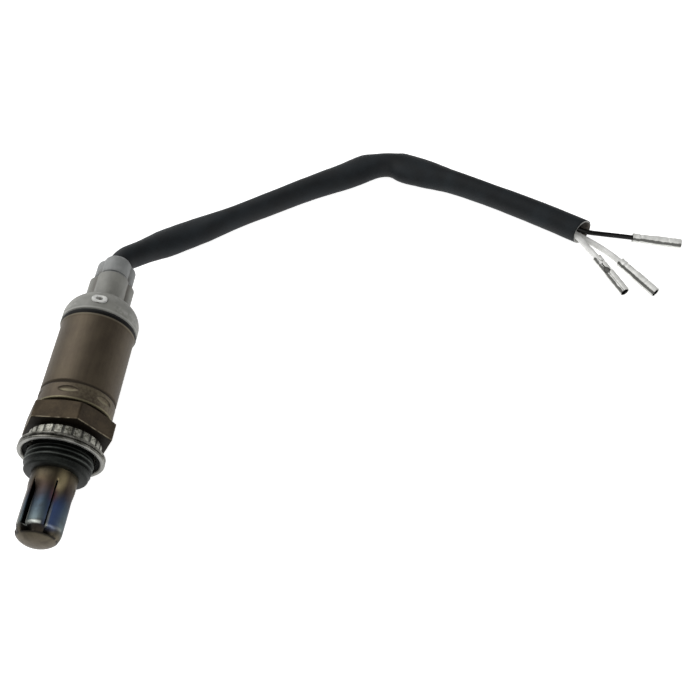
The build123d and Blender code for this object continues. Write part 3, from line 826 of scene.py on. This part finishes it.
def ringProfile():
    # skirt, rear fold, groove, front fold and the bore
    skirt = ring["skirt"]
    rows = [(8.2, -1.1), (skirt - 0.5, -1.1), (skirt - 0.18, -1.14, 1.0),
            (skirt - 0.02, -1.3, 1.0), (skirt, -1.5, 1.0)]
    rows += between((skirt, -1.9, 1.0), (skirt, -3.7, 1.0), 0.3)
    rows += [(skirt, -3.8, 0.2), (skirt + 0.15, -4.05), (skirt + 0.5, -4.16)]
    rows += bow((11.2, -4.62), 0.4, 120, -60, 12, -1.0)
    rows += [(11.1, -5.12, -1.0), (10.7, -5.2), (10.55, -5.27), (10.7, -5.34),
             (11.15, -5.42, -1.0)]
    rows += bow((11.2, -5.8), 0.45, 60, -90, 12)
    rows += bow((10.75, -5.8), 0.45, -90, -180, 8)
    rows += [(10.25, -5.4), (10.0, -5.2), (9.4, -5.1), (9.1, -4.9), (9.1, -2.0), (8.3, -1.8),
             (8.2, -1.6), (8.2, -1.1)]
    return rows


def ringFinish():
    # blotched steel: a light skirt with painted shade in its notches, a darker fold with a painted
    # highlight on its front edge and painted shade in its groove and on its inner front face
    material, shader, spot = newFinish("ringSteel", metallic=0.85, roughness=0.45)
    along = spot.along()
    blotch = spot.noise(2.4, 4.0, 0.6)
    speck = spot.noise(0.5, 2.0)
    tone = (blotch * 0.75 + speck * 0.25).step(0.40, 0.60)
    band = tone.mix(shade(66, 64, 58), shade(128, 127, 120))
    out = (spot * (1.0, 0.0, 1.0)).reach()
    # painted shade on the fold's inner front face and in its groove
    inner = (1.0 - out.step(10.0, 10.5)) * (1.0 - along.step(-4.95, -4.6))
    groove = along.hump(-5.27, 0.22)
    skirt = along.step(-4.1, -3.9)
    notch = (spot.turn() * ring["notches"] + ring["notchTurn"]).maths("SINE").step(0.5, 0.8)
    mottle = (blotch * 0.6 + speck * 0.4).step(0.42, 0.58)
    band = skirt.mix(band, mottle.mix(shade(84, 82, 72), shade(168, 167, 156)))
    # a painted highlight on the fold's front edge
    lit = (1.0 - along.step(-6.2, -6.0)) * out.step(10.6, 10.8) * (0.5 + blotch * 0.5)
    dark = (inner + groove + notch * skirt * (0.4 + speck * 0.6)).maths("MINIMUM", 1.0)
    feed(shader, colour=coat(band, (lit, (150, 150, 146)), (dark, (18, 18, 17))),
         metallic=0.85 - skirt * 0.5, roughness=0.36 + speck * 0.2 + dark * 0.3,
         height=speck, bump=0.03)
    return material


turnPiece("foldedRing", "seal_ring", ringForm, ringProfile(), ringFinish(),
          Around=ring["around"], Notches=ring["notches"], Depth=ring["notchDepth"])

sleeve = {"radius": 10.5, "wall": 0.5, "bottom": 6.6, "top": 35.3, "lip": 0.5, "crimpAt": 11.9,
          "crimpDepth": 0.38, "stakes": 6, "stakeAt": 9.4, "stakeFirst": 28.0,
          "stakeLength": 5.6, "stakeWidth": 1.9, "stakeDepth": 0.42}


def fromStake(turn, along):
    # the way from the middle of the nearest dimple, in shares of its half length and width
    every = pi / sleeve["stakes"]
    aside = turn.maths("WRAP", every, -every) * (sleeve["radius"] / (sleeve["stakeLength"] / 2))
    return aside, (along - sleeve["stakeAt"]) / (sleeve["stakeWidth"] / 2)


def sleeveForm(geo, radius, along, extra, angle):
    # lens-shaped dimples that were staked into the wall
    aside, up = fromStake(angle - geo.value("First"), along)
    dent = 1.0 - (aside * aside + up * up).maths("MINIMUM", 1.0)
    return radius - dent * (2.0 - dent) * geo.value("Depth") * extra


def sleeveProfile():
    # flared rim, wall, rolled groove, staked band, lower rim and the bore
    r, w, at = sleeve["radius"], sleeve["wall"], sleeve["crimpAt"]
    lip, top, bottom = sleeve["lip"], sleeve["top"], sleeve["bottom"]
    rows = [(r - w, top - 1.6), (r - w + 0.25, top - 0.75), (r - w + lip, top)]
    rows += [(r + lip - 0.1, top), (r + lip, top - 0.08), (r + lip - 0.02, top - 0.2),
             (r + 0.22, top - 0.85), (r + 0.06, top - 1.35), (r, top - 1.8)]
    rows += between((r, top - 4, 1.0), (r, at + 0.75, 1.0), 3.0)
    rows += [(r - sleeve["crimpDepth"] * (0.5 + 0.5 * cos(pi * t / 8)), at - t * 0.09, 1.0)
             for t in range(-8, 9)]
    rows += between((r, at - 0.9, 1.0), (r, bottom + 0.35, 1.0), 0.1)
    rows += [(r, bottom + 0.26, 1.0), (r - 0.06, bottom + 0.1), (r - 0.2, bottom + 0.01),
             (r - w, bottom)]
    rows += [(r - w, at - 0.7), (r - w - 0.3, at), (r - w, at + 0.7), (r - w, top - 1.6)]
    return rows


def sleeveFinish():
    # brown heat tint over drawn steel, streaked along its length and mottled by the staking, with
    # painted shade and highlights at its dimples, groove and top rim
    material, shader, spot = newFinish("heatBrownSteel", metallic=0.72, roughness=0.4)
    along = spot.along()
    streak = (spot * (1.0, 0.1, 1.0)).noise(1.3, 5.0)
    cloud = spot.noise(9.0, 4.0)
    speck = spot.noise(0.8, 4.0, 0.65)
    tone = (streak * 0.35 + cloud * 0.65).step(0.34, 0.68)
    brown = tone.mix(shade(68, 59, 48), shade(82, 73, 59))
    right = spot.axis("X").step(-0.002, 0.006)
    low = 1.0 - along.step(11.0, 12.4)
    mottle = low * right * (speck * 0.6 + cloud * 0.4).step(0.42, 0.6)
    # painted shade in the rolled groove
    groove = along.hump(sleeve["crimpAt"], 0.75)
    # each dimple gets painted shade under its upper edge and a painted highlight on its lower half
    aside, up = fromStake(spot.turn() - radians(sleeve["stakeFirst"]), along)
    ringed = aside * aside + up * up
    dark = ringed.hump(0.95, 0.4) * up.step(-0.3, 0.5)
    light = (1.0 - ringed.step(0.4, 0.95)) * (1.0 - up.step(-0.2, 0.5))
    # both ends are painted lighter, and the flared rim is painted black as the shade in the gap
    # under the boot
    lowRim = 1.0 - along.step(sleeve["bottom"] + 0.3, sleeve["bottom"] + 0.65)
    topRim = along.step(sleeve["top"] - 1.3, sleeve["top"] - 1.0)
    black = along.step(sleeve["top"] - 0.8, sleeve["top"] - 0.68)
    brown = coat(brown, (mottle * 0.75, (104, 96, 78)), (groove * 0.8, (38, 31, 23)),
                 (dark * 0.7, (34, 28, 20)), (light * 0.6, (128, 122, 100)),
                 (lowRim * 0.8, (122, 116, 92)), (topRim * 0.5, (118, 112, 96)),
                 (black, (4, 4, 3)))
    feed(shader, colour=brown, roughness=0.44 + cloud * 0.14 + speck * 0.1 + groove * 0.2,
         height=streak * 0.6 + speck * 0.4, bump=0.02)
    return material


turnPiece("sleeveBody", "protective_sleeve", sleeveForm, sleeveProfile(), sleeveFinish(),
          First=radians(sleeve["stakeFirst"]), Depth=sleeve["stakeDepth"])

boot = {"radius": 11.0, "plugBottom": 33.5, "gap": 10.7, "flange": 36.1, "shoulder": 38.8,
        # the shoulder's arc: how far out and how far up its middle is, and its radius
        "arcMiddle": 3.513, "arcAt": 37.916, "arcRadius": 7.539, "blend": 1.1,
        # the neck's lobes: each one's radius and how far it stands out
        "low": (4.5, 2.5), "waist": (3.9, 1.7), "high": (3.95, 2.1), "core": 4.25,
        "lobes": 3, "lobeFirst": 72.0, "lowTop": 53.0, "waistTop": 54.2, "top": 60.3,
        "mouth": 4.0, "mouthFloor": 56.6, "round": 1.3,
        "eyeletTurn": 81.0, "eyeletAt": 39.6, "eyeletOut": 10.86, "eyeletPitch": 13.0,
        "pitHalfLength": 1.6, "pitHalfWidth": 1.0, "pitDepth": 1.2}


def fromLobe(turn):
    # the angle from the middle of the nearest lobe
    half = pi / boot["lobes"]
    return turn.maths("WRAP", half, -half)


def bootForm(geo, radius, along, reach, angle):
    # three lobes of the station's radius stand out by its reach; a dome meets them softly
    turn = fromLobe(angle - geo.value("First"))
    hasLobes = reach.maths("GREATER_THAN", 0.1)
    across = reach * turn.maths("SINE")
    lobed = reach * turn.maths("COSINE") + (radius * radius - across * across).maths("SQRT")
    lobed = lobed.maths("MAXIMUM", geo.value("Core") * hasLobes)
    up = along - boot["arcAt"]
    dome = (boot["arcRadius"] ** 2 - up * up).maths("MAXIMUM", 0.0).maths("SQRT")
    dome = (dome + boot["arcMiddle"]) * along.maths("GREATER_THAN", boot["shoulder"] - 0.01)
    whole = hasLobes.choose(radius, lobed.maths("SMOOTH_MAX", dome, boot["blend"]))
    # the pit that the eyelet sits in
    aside = (angle - radians(boot["eyeletTurn"])) * (boot["radius"] / boot["pitHalfLength"])
    lift = (along - boot["eyeletAt"]) / boot["pitHalfWidth"]
    pit = 1.0 - (aside * aside + lift * lift).step(0.55, 0.95)
    return whole - pit * boot["pitDepth"] * hasLobes


def bootProfile():
    # the hose's mouth, the lobed neck in its three heights, flange, gap and plug
    low, lowReach = boot["low"]
    waist, waistReach = boot["waist"]
    high, highReach = boot["high"]
    mouth, floor, top, corner = boot["mouth"], boot["mouthFloor"], boot["top"], boot["round"]
    lowTop, waistTop = boot["lowTop"], boot["waistTop"]
    rows = [(0.0, floor), (mouth - 0.1, floor), (mouth, floor + 0.1), (mouth, top - 0.35),
            (mouth + 0.08, top - 0.1), (mouth + 0.3, top)]
    rows += [(high - corner * (1 - sin(radians(a))), top - corner * (1 - cos(radians(a))),
              highReach) for a in range(10, 100, 10)]
    rows += between((high, top - corner - 0.3, highReach), (high, waistTop + 0.15, highReach),
                    0.8)
    rows += [(high, waistTop + 0.12, highReach), (high - 0.08, waistTop, highReach),
             (waist + 0.05, waistTop - 0.06, waistReach), (waist, waistTop - 0.15, waistReach),
             (waist, lowTop + 0.12, waistReach), (waist + 0.06, lowTop + 0.02, waistReach),
             (low - 0.12, lowTop - 0.02, lowReach), (low, lowTop - 0.16, lowReach)]
    # stations stand closest where the lobes run into the dome
    for first, last, step in ((lowTop - 0.5, 46.4, 0.5), (46.2, 43.0, 0.12),
                              (43.0, boot["shoulder"], 0.14)):
        rows += between((low, first, lowReach), (low, last, lowReach), step)
    radius, gap, flange, plug = boot["radius"], boot["gap"], boot["flange"], boot["plugBottom"]
    bore, rim = sleeve["radius"] - sleeve["wall"], sleeve["top"]
    rows += [(radius, boot["shoulder"]), (radius, flange + 0.3)]
    rows += bow((radius - 0.28, flange + 0.28), 0.28, -20, -90, 4)
    rows += [(gap + 0.05, flange), (gap, flange - 0.05), (gap, rim + 0.05), (bore + 0.3, rim),
             (bore + 0.42, rim - 0.1), (bore, plug + 0.3), (bore, plug), (0.0, plug)]
    return rows


def bootFinish():
    # grey rubber, a little darker and browner on its low part and darker in the creases between the
    # lobes, with painted shade in the gap and at the waist
    material, shader, spot = newFinish("greyRubber", roughness=0.55)
    along = spot.along()
    cloud = spot.noise(6.0, 4.0)
    speck = spot.noise(0.5, 3.0)
    grain = (spot * (1.0, 0.4, 1.0)).noise(1.6, 4.0)
    tone = (cloud * 0.6 + grain * 0.4).step(0.3, 0.7)
    high = along.step(52.6, 53.4)
    rubber = tone.mix(shade(108, 108, 103), shade(128, 128, 122))
    rubber = high.mix(rubber, tone.mix(shade(112, 114, 113), shade(132, 134, 133)))
    # the flange gets a painted sheen along its rim and in blotches at both sides
    blotch = spot.noise(1.3, 4.0).step(0.36, 0.7)
    sides = 1.0 - spot.turn().hump(radians(84), radians(46)).step(0.1, 0.6)
    flange = along.hump(38.0, 2.8) * sides * blotch + along.hump(36.5, 0.5) * 0.7
    # painted shade in the gap over the sleeve and under the step at the waist, with a few dark
    # specks
    gap = along.hump(sleeve["top"] + 0.1, 0.85).step(0.1, 0.3)
    waist = along.hump(boot["lowTop"] + 0.15, 0.35)
    lobe = fromLobe(spot.turn() - radians(boot["lobeFirst"]))
    crease = lobe.maths("ABSOLUTE").step(0.72, 1.0) * along.step(40.5, 43.0)
    crease = crease * (1.0 - along.step(54.5, 57.0))
    dark = (gap + waist * 0.6 + speck.step(0.66, 0.76) * 0.2).maths("MINIMUM", 1.0)
    # painted shade in the pit that the eyelet sits in
    eyelet = (boot["radius"] * cos(radians(boot["eyeletTurn"])) * mm, boot["eyeletAt"] * mm,
              boot["radius"] * sin(radians(boot["eyeletTurn"])) * mm)
    away = (spot - eyelet).reach()
    rubber = coat(rubber, ((flange * 0.5).maths("MINIMUM", 1.0), (166, 166, 161)),
                  (crease * 0.55, (70, 64, 54)), (1.0 - away.step(1.5, 1.9), (40, 30, 22)),
                  (dark, (5, 5, 5)))
    feed(shader, colour=rubber, roughness=0.5 + cloud * 0.18 + gap * 0.3,
         height=speck * 0.6 + grain * 0.4, bump=0.03)
    return material


turnPiece("bootBody", "grommet", bootForm, bootProfile(), bootFinish(),
          First=radians(boot["lobeFirst"]), Core=boot["core"])
print("hexagon, ring, sleeve and boot turned")

tube = {"radius": 6.1, "belly": 6.2, "wall": 0.4, "seat": -6.0, "dome": -26.7, "tip": -31.3,
        "bulge": 2.1, "count": 6, "first": 123.0, "span": 55.0, "slit": 5.0, "top": -15.0,
        "bend": 3.0, "turnIn": 1.15, "lip": -27.3, "curl": 0.8, "foot": -28.9, "cap": -29.2,
        "groove": 1.6}


def fromEdge(first, turn):
    # degrees from the free edge of the nearest louvre towards the edge that it keeps
    return (first - turn).maths("WRAP", 2 * pi / tube["count"], 0.0) * (180 / pi)


def tubeForm(geo, radius, along, extra, angle):
    # each louvre leans in from the edge it keeps; extra above 1 sinks its end into a groove
    aside = fromEdge(geo.value("Start"), angle)
    lean = ((tube["span"] - aside) / (tube["span"] - tube["slit"])).maths("MAXIMUM", 0.0)
    lean = lean * lean * aside.maths("GREATER_THAN", tube["slit"] - 0.5)
    sunk = (extra - 1.0).maths("MAXIMUM", 0.0) * lean.step(0.0, 0.6)
    leaned = radius - lean * extra.maths("MINIMUM", 1.0) * geo.value("Turn In")
    return leaned - sunk * geo.value("Groove")


def tubeDrop(geo, row, angle):
    # the slit beside each louvre
    beyond = row.maths("GREATER_THAN", geo.value("Slit First"))
    slit = beyond * row.maths("LESS_THAN", geo.value("Slit Last"))
    return slit * fromEdge(geo.value("Start"), angle).maths("LESS_THAN", tube["slit"])


def tubeRadius(y):
    # a straight tube with a slight belly, then a blunt dome
    if y > tube["dome"]:
        t = max(0.0, min(1.0, (tube["top"] - y) / 6.0))
        return tube["radius"] + (tube["belly"] - tube["radius"]) * t * t * (3 - 2 * t)
    deep = (tube["dome"] - y) / (tube["dome"] - tube["tip"])
    return tube["belly"] * max(0.0, 1 - deep ** tube["bulge"]) ** (1 / tube["bulge"])


def tubeProfile():
    # the profile's rows, and which of them the slits lie between
    r, seat = tube["radius"], tube["seat"]
    rows = [(r + 0.75, seat + 0.45), (r + 0.3, seat + 0.4), (r + 0.05, seat + 0.25), (r, seat),
            (r, -9.0)]
    rows += between((r, -11.0), (r, tube["top"]), 1.0)
    line = [(tube["top"], 0.0)]
    slitFirst = len(rows)
    for i in range(1, 9):
        t = i / 8
        line.append((tube["top"] - tube["bend"] * t, t * t * (3 - 2 * t)))
    start = tube["lip"] + tube["curl"]
    line += between((line[-1][0] - 0.5, 1.0), (start, 1.0), 0.7)
    for i in range(8):
        a = radians(i * 10)
        line.append((start - tube["curl"] * sin(a), 1.0 + 0.45 * (1 - cos(a))))
    slitLast = slitFirst + len(line)
    deep = tube["lip"] - tube["foot"]
    line += [(tube["lip"] - deep * t, 1.42 + 0.58 * sin(t * pi / 2))
             for t in (0.08, 0.2, 0.4, 0.7)]
    line += [(tube["foot"], 2.0), (tube["foot"] - 0.08, 1.7), (tube["cap"] + 0.08, 0.6),
             (tube["cap"], 0.0)]
    rows += [(tubeRadius(y), y, extra) for y, extra in line]
    for i in range(1, 19):
        t = sin(i / 18 * pi / 2)
        y = tube["cap"] + (tube["tip"] - tube["cap"]) * t
        rows.append((tubeRadius(y), y))
    return rows, slitFirst, slitLast


def tubeFinish():
    # heat colours run from straw at the seat through slate blue to a taupe tip
    material, shader, spot = newFinish("temperedSteel", metallic=0.95, roughness=0.3)
    along = spot.along()
    wave = spot.noise(7.0, 3.0)
    at = (-11.6 - along) / 19.7 + (wave - 0.5) * 0.16
    colours = at.ramp([
        (0.0, shade(78, 72, 58)), (0.16, shade(70, 61, 48)), (0.28, shade(60, 50, 45)),
        (0.40, shade(50, 50, 56)), (0.50, shade(50, 61, 72)), (0.62, shade(66, 78, 86)),
        (0.74, shade(84, 95, 98)), (0.80, shade(70, 72, 70)), (0.88, shade(92, 86, 72)),
        (1.0, shade(90, 83, 72))])
    sootAndShade = spot.noise(3.0, 4.0)
    fine = (spot * (1.0, 0.2, 1.0)).noise(0.9, 3.0)
    turn = spot.turn()
    # bluer beyond the first louvre, with a painted light grey sheen and painted shade on the far
    # side
    blue = turn.hump(radians(47), radians(30)) * (1.0 - along.step(-22.5, -16.5))
    blue = blue * along.step(-28.6, -27.0) * (1.15 - sootAndShade * 0.5)
    farSideSheen = turn.hump(radians(146), radians(22)).step(0.0, 0.6)
    farSideSheen = farSideSheen * (1.0 - along.step(-18.5, -15.5)) * along.step(-28.5, -27.0)
    shaded = turn.hump(radians(150), radians(34)).step(0.0, 0.5) * along.step(-16.5, -14.0)
    straw = turn.hump(radians(50), radians(20)) * along.hump(-14.5, 6.5) * (1.2 - sootAndShade * 0.6)
    rosy = turn.hump(radians(58), radians(16)) * along.hump(-19.0, 3.0)
    colours = coat(colours, (sootAndShade.step(0.45, 0.75) * 0.45, (50, 45, 42)),
                   ((blue * 0.85).maths("MINIMUM", 1.0), (78, 98, 146)),
                   (farSideSheen * 0.6, (140, 136, 130)), (shaded * 0.6, (34, 32, 30)),
                   ((straw * 0.9).maths("MINIMUM", 1.0), (176, 162, 126)),
                   (rosy * 0.7, (122, 78, 80)))
    # the louvres' free edges and ends get painted highlights, and the groove behind them painted
    # shade varied by soot
    aside = fromEdge(radians(tube["first"]), turn)
    edge = aside.hump(tube["slit"] + 2.5, 6.0) * (1.0 - along.step(-25.0, -19.0))
    near = turn.hump(radians(88), radians(44)).step(0.0, 0.3)
    lip = along.hump(tube["lip"] + 0.3, 0.7) * aside.step(4.0, 7.0)
    lip = lip * (1.0 - aside.step(50.0, 55.0)) * (near * 0.75 + 0.25)
    bright = (edge * 0.7 + lip * 0.9).maths("MINIMUM", 1.0) * along.step(-27.7, -27.4)
    strip = 1.0 - aside.step(49.0, 53.0) * (1.0 - near)
    sunk = along.step(tube["cap"] - 0.1, tube["cap"] + 0.1) * strip
    sunk = sunk * (1.0 - along.step(tube["lip"] - 0.2, tube["lip"]))
    sunk = sunk * turn.step(radians(24), radians(44))
    # a painted dark line of shade where the louvres' ends meet the cap
    capLine = along.hump(tube["cap"] - 0.1, 0.45) * strip * 0.85
    colours = coat(colours, (bright, (196, 200, 194)),
                   (sunk * (0.5 + sootAndShade * 0.35), (34, 27, 25)), (capLine, (12, 12, 14)))
    feed(shader, colour=colours, roughness=0.36 + sootAndShade * 0.2 + fine * 0.1, height=fine,
         bump=0.012)
    return material


def makeTube():
    rows, slitFirst, slitLast = tubeProfile()
    piece = turnPiece("louvredTube", "protective_tube", tubeForm, rows, tubeFinish(), tubeDrop,
                      **{"Start": radians(tube["first"]), "Turn In": tube["turnIn"],
                         "Groove": tube["groove"], "Slit First": float(slitFirst),
                         "Slit Last": float(slitLast)})
    # the tube's inner wall is near black: soot and painted shade
    sootAndShade = cloudedFinish("sootAndShade", (6, 6, 6), (20, 19, 18), 0.9, grain=(0.4, 3.0), bump=0.03,
                         **{"Specular IOR Level": 0.1})
    giveWall(piece, tube["wall"], [sootAndShade])


makeTube()
print("protective tube made")


def eyeletFinish():
    # pale plastic with painted shade in its hole
    material, shader, spot = newFinish("eyeletPlastic", roughness=0.6)
    turn, pitch = radians(boot["eyeletTurn"]), radians(boot["eyeletPitch"])
    aside = (spot * 1000).dot((-sin(turn), 0.0, cos(turn)))
    up = (spot * 1000).dot((-cos(turn) * sin(pitch), cos(pitch), -sin(turn) * sin(pitch)))
    up = up - (boot["eyeletAt"] * cos(pitch) - boot["eyeletOut"] * sin(pitch))
    # painted shade fills the hole
    hole = (aside * aside / 0.7 + up * up / 0.36).step(0.7, 1.3)
    cloud = spot.noise(1.5, 4.0)
    pale = cloud.step(0.3, 0.7).mix(shade(176, 177, 174), shade(214, 214, 210))
    feed(shader, colour=hole.mix(shade(84, 70, 66), pale), roughness=0.5 + cloud * 0.2,
         height=spot.noise(0.3, 2.0), bump=0.02)
    return material


def elementFinish():
    # the thimble's tip is black with soot and painted shade, its root still pale
    material, shader, spot = newFinish("zirconia", roughness=0.7)
    cloud = spot.noise(2.0, 4.0)
    sootyShade = 1.0 - (spot.along() + cloud * 3.0).step(-13.0, -8.0)
    pale = cloud.mix(shade(186, 180, 166), shade(214, 210, 198))
    feed(shader, colour=sootyShade.mix(pale, cloud.mix(shade(5, 5, 5), shade(16, 15, 14))),
         roughness=0.6 + cloud * 0.2, height=spot.noise(0.3, 2.0), bump=0.02)
    return material


steatite = cloudedFinish("steatite", (214, 210, 200), (236, 233, 226), 0.6, reach=(0.3, 0.7))
finishes = {"sensor_ceramic": elementFinish(), "vent_eyelet": eyeletFinish(),
            "support_tube": steatite, "wire_guide": steatite, "heater_rod": steatite}
for name in nodes:
    nodes[name].data.materials.clear()
    nodes[name].data.materials.append(finishes.get(name, tin))
print("finishes set")
